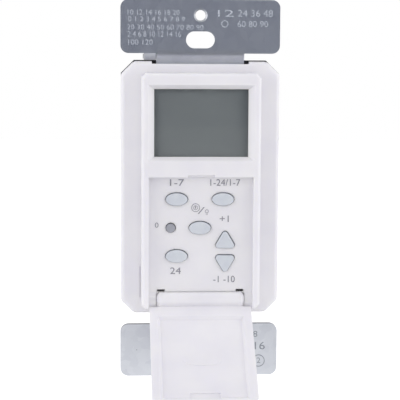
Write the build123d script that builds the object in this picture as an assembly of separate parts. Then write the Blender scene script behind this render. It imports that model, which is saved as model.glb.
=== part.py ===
from build123d import *
from math import cos, hypot, radians, sin
import os

# A programmable timer light switch for a single gang wall box, in the rectangular decorator style.
# A bent steel strap carries a white front housing and a dark rear housing, which are screwed together
# through their corners. A display looks out of a bevelled window, and below it six keys and a reset
# button lie in a shallow recess under a door that folds down on two moulded pins.
#
# Frame: X to the right, Y into the wall, Z up. The origin lies midway between the two cover plate
# screw holes, on the back plane of the ears, where the switch meets the wall. Depths are measured
# ahead of that plane, towards the room, so what lies inside the wall has a negative depth.
# The door is built closed and then turned open, which is how the switch is stored.

# Driving dimensions, in millimetres and degrees
cover_screw_spacing = 96.84
flange_width = 44.1
flange_front = 2.6
face_rise = 5.4
case_depth = 30.0
strap_gauge = 1.3
open_angle = 131.4

# How the main pieces are set back from each other
ear_end_margin = 4.28
ear_height = 14.75
ear_overhang = 0.05
box_slot_inset = 6.75
ear_flange_gap = 2.8
flange_drift = 0.6
face_side_inset = 5.65
face_end_inset = 2.5
strap_setback = 1.2

# Shared working values
overrun = 1.0
seat_gap = 0.02

# Sizes, levels and half sizes that follow from them
strap_length = cover_screw_spacing + 2 * ear_end_margin
box_screw_spacing = cover_screw_spacing - 2 * box_slot_inset
ear_width = flange_width + 2 * ear_overhang
flange_height = strap_length - 2 * ear_height - 2 * ear_flange_gap
face_width = flange_width - 2 * face_side_inset
face_height = flange_height - 2 * face_end_inset
strap_front = strap_gauge - strap_setback
strap_back = -strap_setback
face_front = flange_front + face_rise
face_half = face_width / 2
face_top = face_height / 2
flange_half = flange_width / 2
flange_top = flange_height / 2


def slab(outline, back, front):
    """A plate of the given outline, between two depths ahead of the wall plane."""
    return extrude(Plane.XZ.offset(back) * outline, amount=front - back)


def block(left, right, back, front, low, high):
    """A plain block between two limits in width, depth and height."""
    outline = Pos((left + right) / 2, (low + high) / 2) * Rectangle(right - left, high - low)
    return slab(outline, back, front)


def rod(x, z, radius, back, front):
    """A round rod that points towards the room."""
    return slab(Pos(x, z) * Circle(radius), back, front)


def side_plane(x):
    """The plane across X at the given place, where a side profile is drawn in depth and height."""
    return Plane(origin=(x, 0, 0), x_dir=(0, -1, 0), z_dir=(-1, 0, 0))


def side_piece(profile, left, right):
    """A side profile extruded along X."""
    plane = side_plane(right)
    return extrude(plane * profile, amount=right - left, dir=plane.z_dir)


def side_flare(first_profile, first_x, second_profile, second_x):
    """A solid that changes from one side profile to another between two places along X."""
    return loft([side_plane(first_x) * first_profile, side_plane(second_x) * second_profile])


def profile_of(*corners):
    """A side profile through the given corners, each a depth and a height."""
    return Polygon(*corners, align=None)


def flare(back_outline, back, front_outline, front):
    """A solid that changes from one outline to another between two depths."""
    return loft([Plane.XZ.offset(back) * back_outline, Plane.XZ.offset(front) * front_outline])


def cut_corners(width, height, cut):
    """A rectangle whose four corners are cut at 45 degrees."""
    outline = Rectangle(width, height)
    return chamfer(outline.vertices(), cut)


def soft_corners(width, height, cut, radius):
    """The same, with the two ends of each cut rounded."""
    outline = cut_corners(width, height, cut)
    return fillet(outline.vertices(), radius)


def group(solids):
    """Separate solids that share one file."""
    return Compound(children=list(solids))


# Corner screws: where they stand, and the sizes of the bosses that they draw together
boss_inset_x = 4.4
boss_inset_z = 5.75
boss_radius = 2.1
boss_clearance = 0.1
boss_length = 8.0
boss_embed = 0.5
boss_x = flange_half - boss_inset_x
boss_z = flange_top - boss_inset_z
socket_radius = boss_radius + boss_clearance
corner_places = [(boss_x, boss_z), (-boss_x, boss_z), (boss_x, -boss_z), (-boss_x, -boss_z)]
housing_screw_radius = 1.0
housing_screw_head_radius = 2.0
housing_screw_head_height = 1.7
housing_screw_clearance = 0.15
housing_screw_seat_wall = 2.2
housing_screw_slot_width = 0.7
housing_screw_slot_depth = 0.8
housing_screw_tip_room = 0.5
pilot_clearance = 0.04
boss_end = strap_front - boss_length
screw_seat = boss_end - boss_clearance - housing_screw_seat_wall
pilot_end = strap_front - boss_embed

# Mounting strap
ear_corner_radius = 2.2
cover_hole_radius = 1.45
cover_hole_sink_radius = 1.9
cover_hole_sink_depth = 0.45
box_slot_length = 8.05
box_slot_width = 4.65
neck_inset = 2.35
bend_overlap = 0.15
bend_fall = 2.75
bend_run = 1.5
first_bend_radius = 5.6
second_bend_radius = 1.6
plate_edge_cover = 1.85
plate_boss_gap = 0.9
plate_end_inset = 1.25
plate_bar_height = 2.3
plate_window_radius = 1.5
ground_tab_width = 3.25
ground_tab_slit = 0.15
ground_tab_fall = 1.85
ground_tab_back = 1.1
ground_shelf_rise = 0.3
ground_shelf_depth = 10.6
ground_shelf_width = 10.6
ground_screw_inset = 3.7
ground_screw_radius = 1.7
ground_screw_head_radius = 3.4
ground_screw_head_height = 2.0
ground_screw_length = 3.4
ground_screw_slot_width = 0.9
ground_screw_slot_depth = 0.8
thread_clearance = 0.03

ear_inner = strap_length / 2 - ear_height
ear_centre = ear_inner + ear_height / 2
bend_start = ear_inner + bend_overlap
bend_end = bend_start - bend_fall
plate_half = flange_half - plate_edge_cover
plate_end_half = boss_x - socket_radius - plate_boss_gap
plate_shoulder = boss_z - socket_radius - plate_boss_gap
plate_top = flange_top - plate_end_inset
plate_window_top = plate_shoulder - plate_bar_height
neck_width = 2 * (plate_end_half - neck_inset)
tab_right = -neck_width / 2 - ground_tab_slit
tab_left = tab_right - ground_tab_width
tab_low = ear_inner - ground_tab_fall
shelf_low = tab_low + ground_shelf_rise
shelf_high = shelf_low + strap_gauge
shelf_end = strap_back - ground_shelf_depth
shelf_right = tab_left + ground_shelf_width
ground_screw_x = shelf_right - ground_screw_inset
ground_screw_depth = strap_back - ground_shelf_depth / 2


def plate_outline(grow):
    """The middle plate without its window: wide along the rails, narrow between the corner bosses."""
    rails = Rectangle(2 * (plate_half + grow), 2 * (plate_shoulder + grow))
    ends = Rectangle(2 * (plate_end_half + grow), 2 * (plate_top + grow))
    return rails + ends


def upper_ear_and_neck():
    """One ear with its screw holes, and the neck that steps back to the middle plate."""
    ear_outline = Pos(0, ear_centre) * RectangleRounded(ear_width, ear_height, ear_corner_radius)
    neck_half = neck_width / 2
    ear = slab(ear_outline, 0, strap_gauge)
    neck_high = bend_start + bend_run
    ear -= block(-neck_half, neck_half, -overrun, strap_gauge + overrun, ear_inner - overrun, neck_high)
    step = profile_of(
        (strap_gauge, neck_high),
        (strap_gauge, bend_start),
        (strap_front, bend_end),
        (strap_front, plate_shoulder),
        (strap_back, plate_shoulder),
        (strap_back, bend_end),
        (0, bend_start),
        (0, neck_high),
    )
    for level, radius in ((bend_start, first_bend_radius), (bend_end, second_bend_radius)):
        bends = [v for v in step.vertices() if abs(v.Y - level) < seat_gap]
        step = fillet(bends, radius)
    ear += side_piece(step, -neck_half, neck_half)
    cover_hole_z = cover_screw_spacing / 2
    ear -= rod(0, cover_hole_z, cover_hole_radius, -overrun, strap_gauge + overrun)
    sink_start = strap_gauge - cover_hole_sink_depth
    hole = Pos(0, cover_hole_z) * Circle(cover_hole_radius)
    rim = Pos(0, cover_hole_z) * Circle(cover_hole_sink_radius)
    ear -= flare(hole, sink_start, rim, strap_gauge)
    slot = Pos(0, box_screw_spacing / 2) * SlotOverall(box_slot_length, box_slot_width)
    return ear - slab(slot, -overrun, strap_gauge + overrun)


def ground_tab():
    """A bracket welded behind the ear: a lug beside the neck, and a shelf for the ground screw."""
    lug = profile_of(
        (strap_gauge, ear_inner + bend_overlap),
        (strap_gauge, ear_inner),
        (strap_gauge - ground_tab_back, tab_low),
        (-ground_tab_back, tab_low),
        (0, ear_inner),
        (0, ear_inner + bend_overlap),
    )
    tab = side_piece(lug, tab_left, tab_right)
    shelf_front = strap_gauge - ground_tab_back
    tab += block(tab_left, tab_right, shelf_end, shelf_front, shelf_low, shelf_high)
    tab += block(tab_left, shelf_right, shelf_end, strap_back, shelf_low, shelf_high)
    hole_plane = Plane.XY.offset(shelf_low - overrun)
    hole_place = Pos(ground_screw_x, -ground_screw_depth)
    hole = hole_plane * hole_place * Circle(ground_screw_radius + thread_clearance)
    return tab - extrude(hole, amount=strap_gauge + 2 * overrun)


def mounting_strap():
    """Bent sheet steel: two ears, two necks and a middle plate with a window for the boards."""
    window = RectangleRounded(2 * control_board_half, 2 * plate_window_top, plate_window_radius)
    plate = slab(plate_outline(0) - window, strap_back, strap_front)
    upper = upper_ear_and_neck()
    return plate + upper + mirror(upper, about=Plane.XY) + ground_tab()


def ground_screw():
    """The slotted screw that clamps the ground wire on the strap's shelf."""
    place = Pos(ground_screw_x, -ground_screw_depth)
    head_plane = Plane.XY.offset(shelf_high)
    head = extrude(head_plane * place * Circle(ground_screw_head_radius), amount=ground_screw_head_height)
    shank = extrude(head_plane * place * Circle(ground_screw_radius), amount=-ground_screw_length)
    slot_outline = place * Rectangle(2 * ground_screw_head_radius, ground_screw_slot_width)
    slot_plane = head_plane.offset(ground_screw_head_height)
    slot = extrude(slot_plane * slot_outline, amount=-ground_screw_slot_depth)
    return head + shank - slot


# Front housing
flange_corner = 3.6
flange_corner_round = 2.0
flange_edge_round = 1.1
neck_notch_side = 1.3
neck_notch_height = 0.7
face_corner = 1.2
face_edge_round = 0.9
front_wall = 1.6
window_side_inset = 3.45
window_height_share = 0.2841
window_centre_share = 0.5804
bezel_side = 1.75
bezel_end = 1.2
bezel_depth = 1.4
recess_wall = 1.95
recess_top_share = 0.1259
recess_depth = 2.2
recess_floor_wall = 1.2
finger_notch_width = 7.4
finger_notch_rise = 0.7
finger_notch_depth = 1.6
wall_groove_length = 8.6
wall_groove_width = 0.45
wall_groove_depth = 0.3
wall_groove_rise = 2.7
standoff_radius_share = 0.1074
standoff_place_share = 0.8658
upper_standoff_rise_share = 0.0311
lower_standoff_rise = 3.05
board_screw_radius = 0.8
board_screw_length = 3.4
board_screw_head_radius = 1.5
board_screw_head_height = 1.2
board_screw_slot_width = 0.5
board_screw_slot_depth = 0.5
board_screw_tip_room = 0.3

# Door and its hinge
hinge_below_face = 2.7
hinge_above_edge = 2.55
hinge_pin_radius = 0.55
hinge_pin_length = 1.7
hinge_pin_clearance = 0.05
hinge_pin_end_gap = 0.3
hinge_cheek_width = 2.15
hinge_pad_rise = 0.55
hinge_pad_top = 0.7
hinge_pad_bottom = 1.1
hinge_pad_slope = 1.2
hinge_notch_rise = 2.15
pocket_clearance = 0.25
pocket_wall = 1.0
relief_slot_inset = 0.25
relief_slot_length = 2.15
relief_slot_height = 0.65
door_side_gap = 0.3
door_top_gap = 0.45
door_floor_gap = 0.2
door_skin = 1.2
door_edge_round = 0.5
door_corner_radius = 1.0
door_shoulder_rise = 2.2
door_tongue_gap = 0.13
door_tongue_bevel = 0.8
door_barrel_radius = 2.05
door_crease_angle = 35.0
door_lip_drop = 2.4
door_lip_bevel = 1.2
door_side_rim = 3.0
door_end_rim = 1.6
door_hinge_rim = 4.1
door_rim_bevel = 0.8
finger_pull_width = 8.2
finger_pull_height = 2.2
finger_pull_lip = 0.9
finger_pull_cut = 0.4
pusher_width = 10.4
pusher_height = 3.6
pusher_rise = 0.2

neck_notch_width = neck_width + 2 * neck_notch_side
window_width = face_width - 2 * window_side_inset
window_height = window_height_share * face_height
window_centre = window_centre_share * face_top
recess_half = face_half - recess_wall
recess_top = recess_top_share * face_top
recess_height = recess_top + face_top
recess_floor = face_front - recess_depth
floor_back = recess_floor - recess_floor_wall
inner_half = face_half - front_wall
inner_top = face_top - front_wall
cavity_split = recess_top + front_wall
hinge_z = hinge_above_edge - face_top
hinge_depth = face_front - hinge_below_face
notch_half = recess_half - hinge_cheek_width
notch_top = hinge_z + hinge_notch_rise
lower_cavity_end = notch_top + pocket_wall
pocket_radius = hypot(hinge_below_face, door_lip_drop) + pocket_clearance
standoff_radius = standoff_radius_share * inner_half
standoff_x = standoff_place_share * inner_half
upper_standoff_z = recess_top + upper_standoff_rise_share * recess_height
lower_standoff_z = lower_standoff_rise - plate_window_top
standoff_places = [(side * standoff_x, z) for side in (-1, 1) for z in (upper_standoff_z, lower_standoff_z)]

# Control board level, which the standoffs reach
board_drop = 2.85
control_board_thickness = 1.2
board_front = floor_back - board_drop
board_back = board_front - control_board_thickness

# Keys: outlines, places and travel
key_gap = 0.18
key_drift = 0.03
key_sag = 0.09
key_flange_share = 0.0515
key_flange_thickness = 0.6
key_rise = 0.7
key_crown_round = 0.3
key_travel = 0.8
oval_key_width_share = 0.4152
oval_key_height_share = 0.0947
arrow_key_width_share = 0.353
arrow_key_height_share = 0.1238
arrow_key_radius_share = 0.1593
reset_radius_share = 0.0865
reset_rise = 0.3
reset_travel = 0.5
left_column_share = -0.46
right_column_share = 0.473
edit_column_share = 0.427
middle_column_share = -0.0125
reset_column_share = -0.573
first_row_share = 0.1687
middle_row_share = 0.3855
up_row_share = 0.4758
set_row_share = 0.5996
down_row_share = 0.6547
dome_base_radius = 2.4
dome_top_radius = 1.5
dome_clearance = 0.08
mat_thickness = 0.5
mat_margin = 3.4
mat_side_gap = 0.3

key_back = floor_back - seat_gap - key_flange_thickness
key_flange_grow = key_flange_share * recess_half
oval_key_width = oval_key_width_share * recess_half
oval_key_height = oval_key_height_share * recess_height
arrow_key_width = arrow_key_width_share * recess_half
arrow_key_height = arrow_key_height_share * recess_height
arrow_key_radius = arrow_key_radius_share * arrow_key_width
reset_radius = reset_radius_share * recess_half


def oval_outline(grow):
    """The outline of the four oval keys, larger all round by the given amount."""
    return Ellipse(oval_key_width / 2 + grow, oval_key_height / 2 + grow)


def arrow_outline(grow):
    """A triangle with round corners that points up."""
    side = arrow_key_width / 2 - arrow_key_radius
    rise = arrow_key_height / 2 - arrow_key_radius
    corners = [(0, rise), (side, -rise), (-side, -rise)]
    circles = [Pos(*corner) * Circle(arrow_key_radius + grow) for corner in corners]
    return make_hull([edge for circle in circles for edge in circle.edges()])


def down_arrow_outline(grow):
    """The same triangle, pointing down."""
    return Rot(0, 0, 180) * arrow_outline(grow)


def round_outline(grow):
    """The outline of the reset button."""
    return Circle(reset_radius + grow)


key_shares = {
    "program_key": (oval_outline, left_column_share, first_row_share),
    "edit_key": (oval_outline, edit_column_share, first_row_share),
    "override_key": (oval_outline, middle_column_share, middle_row_share),
    "set_key": (oval_outline, left_column_share, set_row_share),
    "up_key": (arrow_outline, right_column_share, up_row_share),
    "down_key": (down_arrow_outline, right_column_share, down_row_share),
    "reset_button": (round_outline, reset_column_share, middle_row_share),
}
keys = {
    name: (outline, column * recess_half, recess_top - row * recess_height)
    for name, (outline, column, row) in key_shares.items()
}


def key_cap(name):
    """A key with the flange that keeps it behind the recess floor, and a softly rounded crown."""
    outline, x, z = keys[name]
    rise = reset_rise if name == "reset_button" else key_rise
    place = Pos(x - key_drift, z - key_sag)
    cap = slab(place * outline(0), key_back, recess_floor + rise)
    crown = cap.faces().sort_by(Axis.Y)[0].edges()
    cap = fillet(crown, min(key_crown_round, rise / 2))
    return cap + slab(place * outline(key_flange_grow), key_back, key_back + key_flange_thickness)


def flange_with_face():
    """The solid outer form of the front: the flange plate and the raised face on it."""
    outline = soft_corners(flange_width, flange_height, flange_corner, flange_corner_round)
    flange = slab(Pos(0, flange_drift) * outline, strap_front, flange_front)
    flange = fillet(flange.faces().sort_by(Axis.Y)[0].edges(), flange_edge_round)
    face = slab(cut_corners(face_width, face_height, face_corner), strap_front, face_front)
    face = fillet(face.faces().sort_by(Axis.Y)[0].edges(), face_edge_round)
    return flange + face


def window_cut():
    """The display opening and the bevel that leads down to it."""
    opening = Pos(0, window_centre) * Rectangle(window_width, window_height)
    wide = Rectangle(window_width + 2 * bezel_side, window_height + 2 * bezel_end)
    bezel = flare(opening, face_front - bezel_depth, Pos(0, window_centre) * wide, face_front)
    return slab(opening, strap_front, face_front) + bezel


def hinge_pads():
    """Low swellings of the recess floor at both ends of the hinge, which cover the pin holes."""
    pad_front = recess_floor + hinge_pad_rise
    pad = profile_of(
        (recess_floor - hinge_pad_rise, hinge_z + hinge_pad_top + hinge_pad_slope),
        (recess_floor, hinge_z + hinge_pad_top + hinge_pad_slope),
        (pad_front, hinge_z + hinge_pad_top),
        (pad_front, hinge_z - hinge_pad_bottom),
        (recess_floor, hinge_z - hinge_pad_bottom - hinge_pad_slope),
        (recess_floor - hinge_pad_rise, hinge_z - hinge_pad_bottom - hinge_pad_slope),
    )
    return side_piece(pad, notch_half, recess_half) + side_piece(pad, -recess_half, -notch_half)


def hinge_cuts():
    """The notch for the door's tongue, the round pocket behind it and the pin holes."""
    swing = Pos(hinge_depth, hinge_z) * Circle(pocket_radius)
    limit_centre = notch_top - pocket_radius
    swing &= Pos(hinge_depth, limit_centre) * Rectangle(2 * pocket_radius, 2 * pocket_radius)
    cuts = side_piece(swing, -notch_half, notch_half)
    cuts += block(-notch_half, notch_half, hinge_depth, face_front, -face_top - overrun, notch_top)
    bore = Pos(hinge_depth, hinge_z) * Circle(hinge_pin_radius + hinge_pin_clearance)
    bore_half = notch_half - door_tongue_gap + hinge_pin_length + hinge_pin_end_gap
    cuts += side_piece(bore, -bore_half, bore_half)
    for side in (-1, 1):
        slot_end = notch_half - relief_slot_inset
        ends = sorted((side * slot_end, side * (slot_end - relief_slot_length)))
        cuts += block(*ends, strap_front - overrun, recess_floor, notch_top, notch_top + relief_slot_height)
    return cuts


def finger_notch():
    """The small scoop at the top of the recess, where a fingernail lifts the door."""
    scoop = profile_of(
        (face_front - finger_notch_depth, recess_top),
        (face_front, recess_top + finger_notch_rise),
        (face_front + overrun, recess_top + finger_notch_rise),
        (face_front + overrun, recess_top - overrun),
        (face_front - finger_notch_depth, recess_top - overrun),
    )
    return side_piece(scoop, -finger_notch_width / 2, finger_notch_width / 2)


def front_housing():
    """The white moulded front: flange, raised face, window, keypad recess, hinge and screw bosses."""
    shell = flange_with_face()
    cavity_back = strap_front - overrun
    shell -= block(-inner_half, inner_half, cavity_back, face_front - front_wall, cavity_split, inner_top)
    shell -= block(-inner_half, inner_half, cavity_back, floor_back, lower_cavity_end, cavity_split)
    shell -= window_cut()
    recess_end = -face_top - overrun
    shell -= block(-recess_half, recess_half, recess_floor, face_front + overrun, recess_end, recess_top)
    shell -= finger_notch()
    shell += hinge_pads()
    shell -= hinge_cuts()
    for outline, x, z in keys.values():
        shell -= slab(Pos(x, z) * outline(key_gap), floor_back - overrun, recess_floor + overrun)
    groove_low = wall_groove_rise - face_top
    for side in (-1, 1):
        limits = sorted((side * face_half, side * (face_half + wall_groove_width)))
        groove_back = flange_front - wall_groove_depth
        shell -= block(*limits, groove_back, flange_front, groove_low, groove_low + wall_groove_length)
        notch_place = Pos(0, flange_drift + side * flange_top)
        notch = notch_place * Rectangle(neck_notch_width, 2 * neck_notch_height)
        shell -= slab(notch, cavity_back, flange_front + overrun)
    for x, z in standoff_places:
        shell += rod(x, z, standoff_radius, board_front + seat_gap, floor_back + boss_embed)
        pilot_front = board_back + board_screw_length + board_screw_tip_room
        shell -= rod(x, z, board_screw_radius + pilot_clearance, board_front - overrun, pilot_front)
    for x, z in corner_places:
        shell += rod(x, z, boss_radius, boss_end, strap_front + boss_embed)
        shell -= rod(x, z, housing_screw_radius + pilot_clearance, boss_end - overrun, pilot_end)
    return shell


def door_outline(low, high, half, radius):
    """The door seen from the front, with its two upper corners rounded."""
    outline = Pos(0, (low + high) / 2) * Rectangle(2 * half, high - low)
    return fillet(outline.vertices().group_by(Axis.Y)[-1], radius)


def door_web(inset):
    """The side profile that joins the hinge barrel to the tray, with its inner side set in by some amount."""
    crease = radians(door_crease_angle)
    crease_reach = door_barrel_radius - inset
    rim_depth = recess_floor + door_floor_gap - hinge_depth
    skin_depth = hinge_below_face - door_skin
    return profile_of(
        (-crease_reach * cos(crease), crease_reach * sin(crease)),
        (rim_depth + inset, door_shoulder_rise - door_tongue_gap),
        (rim_depth, door_shoulder_rise + door_hinge_rim / 2),
        (hinge_below_face, door_shoulder_rise + door_hinge_rim / 2),
        (hinge_below_face, -door_lip_drop),
        (skin_depth, -door_lip_drop + door_lip_bevel),
        (0, 0),
    )


def door():
    """The flip-down door, modelled closed as a shallow tray on a hinge tongue, then turned open."""
    half = recess_half - door_side_gap
    low = hinge_z + door_shoulder_rise
    high = recess_top - door_top_gap
    rim_back = recess_floor + door_floor_gap
    skin_back = face_front - door_skin
    tray = slab(door_outline(low, high, half, door_corner_radius), rim_back, face_front)
    tray = fillet(tray.faces().sort_by(Axis.Y)[0].edges().group_by(Axis.Z)[-1], door_edge_round)
    pan_half = half - door_side_rim
    pan_low = low + door_hinge_rim
    pan_high = high - door_end_rim
    pan_centre = Pos(0, (pan_low + pan_high) / 2)
    pan = pan_centre * Rectangle(2 * pan_half, pan_high - pan_low)
    mouth = pan_centre * Rectangle(2 * (pan_half + door_rim_bevel), pan_high - pan_low + 2 * door_rim_bevel)
    tray -= flare(mouth, rim_back, pan, skin_back)
    pull_high = high - finger_pull_lip
    pull_half = finger_pull_width / 2
    pull_front = skin_back + finger_pull_cut
    tray -= block(-pull_half, pull_half, rim_back, pull_front, pull_high - finger_pull_height, pull_high)
    pusher = Pos(keys["override_key"][1], keys["override_key"][2]) * Ellipse(pusher_width / 2, pusher_height / 2)
    tray += slab(pusher, skin_back - pusher_rise, skin_back)
    tongue_half = notch_half - door_tongue_gap
    at_hinge = Pos(hinge_depth, hinge_z)
    bar_half = tongue_half - door_tongue_bevel
    web = at_hinge * door_web(0)
    barrel = at_hinge * Circle(door_barrel_radius)
    tray += side_piece(web + barrel, -bar_half, bar_half)
    web_end = at_hinge * door_web(door_tongue_bevel)
    barrel_end = at_hinge * Circle(door_barrel_radius - door_tongue_bevel)
    for side in (-1, 1):
        tray += side_flare(web, side * bar_half, web_end, side * tongue_half)
        tray += side_flare(barrel, side * bar_half, barrel_end, side * tongue_half)
    pin_half = tongue_half + hinge_pin_length
    tray += side_piece(at_hinge * Circle(hinge_pin_radius), -pin_half, pin_half)
    return tray.rotate(Axis((0, -hinge_depth, hinge_z), (1, 0, 0)), open_angle)


# Display: a pane behind the bezel, a two-layer glass, its reflector, holder and contact strips
pane_overlap_side = 1.2
pane_overlap_end = 1.2
pane_thickness = 0.9
display_gap = 0.05
glass_inset = 0.3
glass_layer = 1.0
glass_ledge_side = 1.2
glass_ledge_end = 2.1
reflector_inset = 0.3
reflector_thickness = 0.25
holder_wall = 0.55
holder_gap = 0.1
holder_ledge = 1.0
strip_thickness = 1.5
strip_inset = 1.5

pane_width = window_width + 2 * pane_overlap_side
pane_height = window_height + 2 * pane_overlap_end
pane_front = face_front - front_wall - seat_gap
pane_back = pane_front - pane_thickness
glass_width = pane_width - 2 * glass_inset
glass_height = pane_height - 2 * glass_inset
glass_front = pane_back - display_gap
glass_middle = glass_front - glass_layer
glass_back = glass_middle - glass_layer
holder_back = board_front + seat_gap
at_window = Pos(0, window_centre)


def display_window():
    """The clear pane that closes the window opening from behind."""
    return slab(at_window * Rectangle(pane_width, pane_height), pane_back, pane_front)


def lcd_glass():
    """Two glass layers; the front one overhangs at top and bottom, where its contacts are."""
    front_layer = slab(at_window * Rectangle(glass_width, glass_height), glass_middle, glass_front)
    rear = Rectangle(glass_width - 2 * glass_ledge_side, glass_height - 2 * glass_ledge_end)
    return front_layer + slab(at_window * rear, glass_back, glass_middle)


def lcd_reflector():
    """The thin film behind the glass that gives the display its grey-green ground."""
    width = glass_width - 2 * glass_ledge_side - 2 * reflector_inset
    height = glass_height - 2 * glass_ledge_end - 2 * reflector_inset
    front = glass_back - seat_gap
    return slab(at_window * Rectangle(width, height), front - reflector_thickness, front)


def lcd_holder():
    """The frame that centres the glass over the board and keeps the contact strips in line."""
    pocket_width = glass_width + 2 * holder_gap
    pocket_height = glass_height + 2 * holder_gap
    outer = Rectangle(pocket_width + 2 * holder_wall, pocket_height + 2 * holder_wall)
    frame = slab(at_window * outer, holder_back, glass_front)
    frame -= slab(at_window * Rectangle(pocket_width, pocket_height), glass_middle - seat_gap, glass_front)
    well = Rectangle(pocket_width - 2 * holder_ledge, pocket_height)
    return frame - slab(at_window * well, holder_back - overrun, glass_middle)


def zebra_strip(side):
    """A rubber contact strip between the board and the overhanging edge of the glass."""
    half = glass_width / 2 - holder_ledge - strip_inset
    outer = glass_height / 2 - holder_gap
    ends = sorted((window_centre + side * outer, window_centre + side * (outer - strip_thickness)))
    return block(-half, half, board_front + seat_gap, glass_middle - seat_gap, *ends)


# Control board and what it carries
board_edge_gap = 0.3
board_end_gap = 0.6
mat_hole_gap = 0.2
controller_size = 10.0
controller_height = 1.5
controller_lead_width = 0.4
controller_lead_reach = 1.1
controller_lead_height = 0.5
controller_lead_pitch = 1.1
controller_leads_per_side = 8
controller_shares = (-0.274, -0.161)
crystal_length = 8.0
crystal_width = 3.0
crystal_height = 2.6
crystal_shares = (0.548, -0.161)
backup_radius = 5.75
backup_height = 5.0
backup_rim_width = 0.6
backup_rim_height = 3.4
backup_height_share = 0.387
connector_length_share = 0.695
connector_height_share = -0.548
connector_width = 4.6
connector_pins = 8
connector_pitch_share = 0.1575
pin_side = 0.64
pin_clearance = 0.1
pin_end_gap = 0.6
socket_height = 6.0
header_height = 2.5

control_board_half = inner_half - board_edge_gap
control_board_top = inner_top - board_edge_gap
control_board_low = lower_cavity_end + board_end_gap
controller_x = controller_shares[0] * control_board_half
controller_z = controller_shares[1] * control_board_top
crystal_x = crystal_shares[0] * control_board_half
crystal_z = crystal_shares[1] * control_board_top
backup_z = backup_height_share * control_board_top
connector_length = 2 * connector_length_share * control_board_half
connector_pitch = connector_pitch_share * control_board_half
connector_z = connector_height_share * control_board_top


def dome_place_list():
    """Where each key presses its dome on the mat."""
    return [(x - key_drift, z - key_sag) for _, x, z in keys.values()]


def control_board():
    """The board behind the display and the keypad, with its four screw holes."""
    board = block(
        -control_board_half, control_board_half, board_back, board_front, control_board_low, control_board_top
    )
    for x, z in standoff_places:
        hole_radius = board_screw_radius + housing_screw_clearance
        board -= rod(x, z, hole_radius, board_back - overrun, board_front + overrun)
    return board


def control_board_screws():
    """Four small screws that hold the control board on the standoffs."""
    return group(slotted_screw_ahead(x, z) for x, z in standoff_places)


def slotted_screw_ahead(x, z):
    """A screw driven towards the room, its head on the back of the control board."""
    head_back = board_back - seat_gap - board_screw_head_height
    screw = rod(x, z, board_screw_head_radius, head_back, board_back - seat_gap)
    screw += rod(x, z, board_screw_radius, board_back - seat_gap, board_back + board_screw_length)
    slot = Pos(x, z) * Rectangle(2 * board_screw_head_radius, board_screw_slot_width)
    return screw - slab(slot, head_back, head_back + board_screw_slot_depth)


def keypad_mat():
    """The rubber mat under the keys, with one collapsible dome for each."""
    low = recess_top - down_row_share * recess_height - mat_margin
    high = recess_top - first_row_share * recess_height + mat_margin
    half = standoff_x - standoff_radius - mat_side_gap
    mat_back = board_front + seat_gap
    mat_front = mat_back + mat_thickness
    mat = block(-half, half, mat_back, mat_front, low, high)
    for name, (x, z) in zip(keys, dome_place_list()):
        travel = reset_travel if name == "reset_button" else key_travel
        dome_front = key_back - travel - dome_clearance
        base = Pos(x, z) * Circle(dome_base_radius)
        mat += flare(base, mat_front, Pos(x, z) * Circle(dome_top_radius), dome_front)
    return mat


def microcontroller():
    """A flat square chip with short leads on all four sides."""
    half = controller_size / 2
    front = board_back - seat_gap
    body_front = front - controller_lead_height / 2
    centre = Pos(controller_x, controller_z)
    chip = slab(centre * Rectangle(controller_size, controller_size), front - controller_height, body_front)
    span = controller_size + 2 * controller_lead_reach
    first = -(controller_leads_per_side - 1) * controller_lead_pitch / 2
    for index in range(controller_leads_per_side):
        offset = first + index * controller_lead_pitch
        row = centre * Pos(0, offset) * Rectangle(span, controller_lead_width)
        column = centre * Pos(offset, 0) * Rectangle(controller_lead_width, span)
        chip += slab(row, front - controller_lead_height, front)
        chip += slab(column, front - controller_lead_height, front)
    return chip


def crystal():
    """The metal can of the clock's quartz crystal."""
    front = board_back - seat_gap
    outline = Pos(crystal_x, crystal_z) * SlotOverall(crystal_length, crystal_width, rotation=90)
    return slab(outline, front - crystal_height, front)


def backup_capacitor():
    """The button-shaped capacitor that keeps the clock running through a power cut."""
    front = board_back - seat_gap
    can = rod(0, backup_z, backup_radius - backup_rim_width, front - backup_height, front)
    return can + rod(0, backup_z, backup_radius, front - backup_rim_height, front)


def connector_pin_places():
    """The pins of the board connector, in one row."""
    first = -(connector_pins - 1) * connector_pitch / 2
    return [first + index * connector_pitch for index in range(connector_pins)]


def connector_block(back, front):
    """The plain body of either half of the board connector."""
    return slab(Pos(0, connector_z) * Rectangle(connector_length, connector_width), back, front)


def board_socket():
    """The female half of the board connector, on the control board."""
    front = board_back - seat_gap
    body = connector_block(front - socket_height, front)
    side = pin_side + 2 * pin_clearance
    for x in connector_pin_places():
        hole = Pos(x, connector_z) * Rectangle(side, side)
        body -= slab(hole, front - socket_height - overrun, front - pin_end_gap)
    return body


# Rear housing and its two boards' levels
case_rim_rise = 0.3
case_rim_inset = 0.1
case_rim_depth = 3.3
case_body_inset_x = 0.85
case_body_inset_z = 2.15
case_corner = 2.0
case_taper = 0.6
case_wall = 1.8
case_back_wall = 2.0
case_back_round = 1.0
tower_wall = 0.8
strap_play = 0.2
terminal_height_share = 0.3846
niche_half_height = 4.9
niche_depth = 5.4
niche_wall = 1.6
niche_front = -8.8
niche_length = 10.8
terminal_thickness = 1.2
terminal_plate_height = 8.8
terminal_plate_margin = 0.45
terminal_tab_width = 3.2
terminal_tab_overlap = 1.1
terminal_slot_gap = 0.2
clamp_side = 8.3
clamp_thickness = 1.2
clamp_hole_clearance = 0.2
clamp_tooth_width = 0.6
clamp_tooth_depth = 0.3
terminal_screw_radius = 1.95
terminal_screw_head_radius = 3.9
terminal_screw_head_height = 2.1
terminal_screw_length = 4.9
terminal_screw_slot_width = 1.1
terminal_screw_slot_depth = 1.0
terminal_screw_relief = 0.35
post_radius = 2.0
post_shares = (0.826, 0.905)
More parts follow.
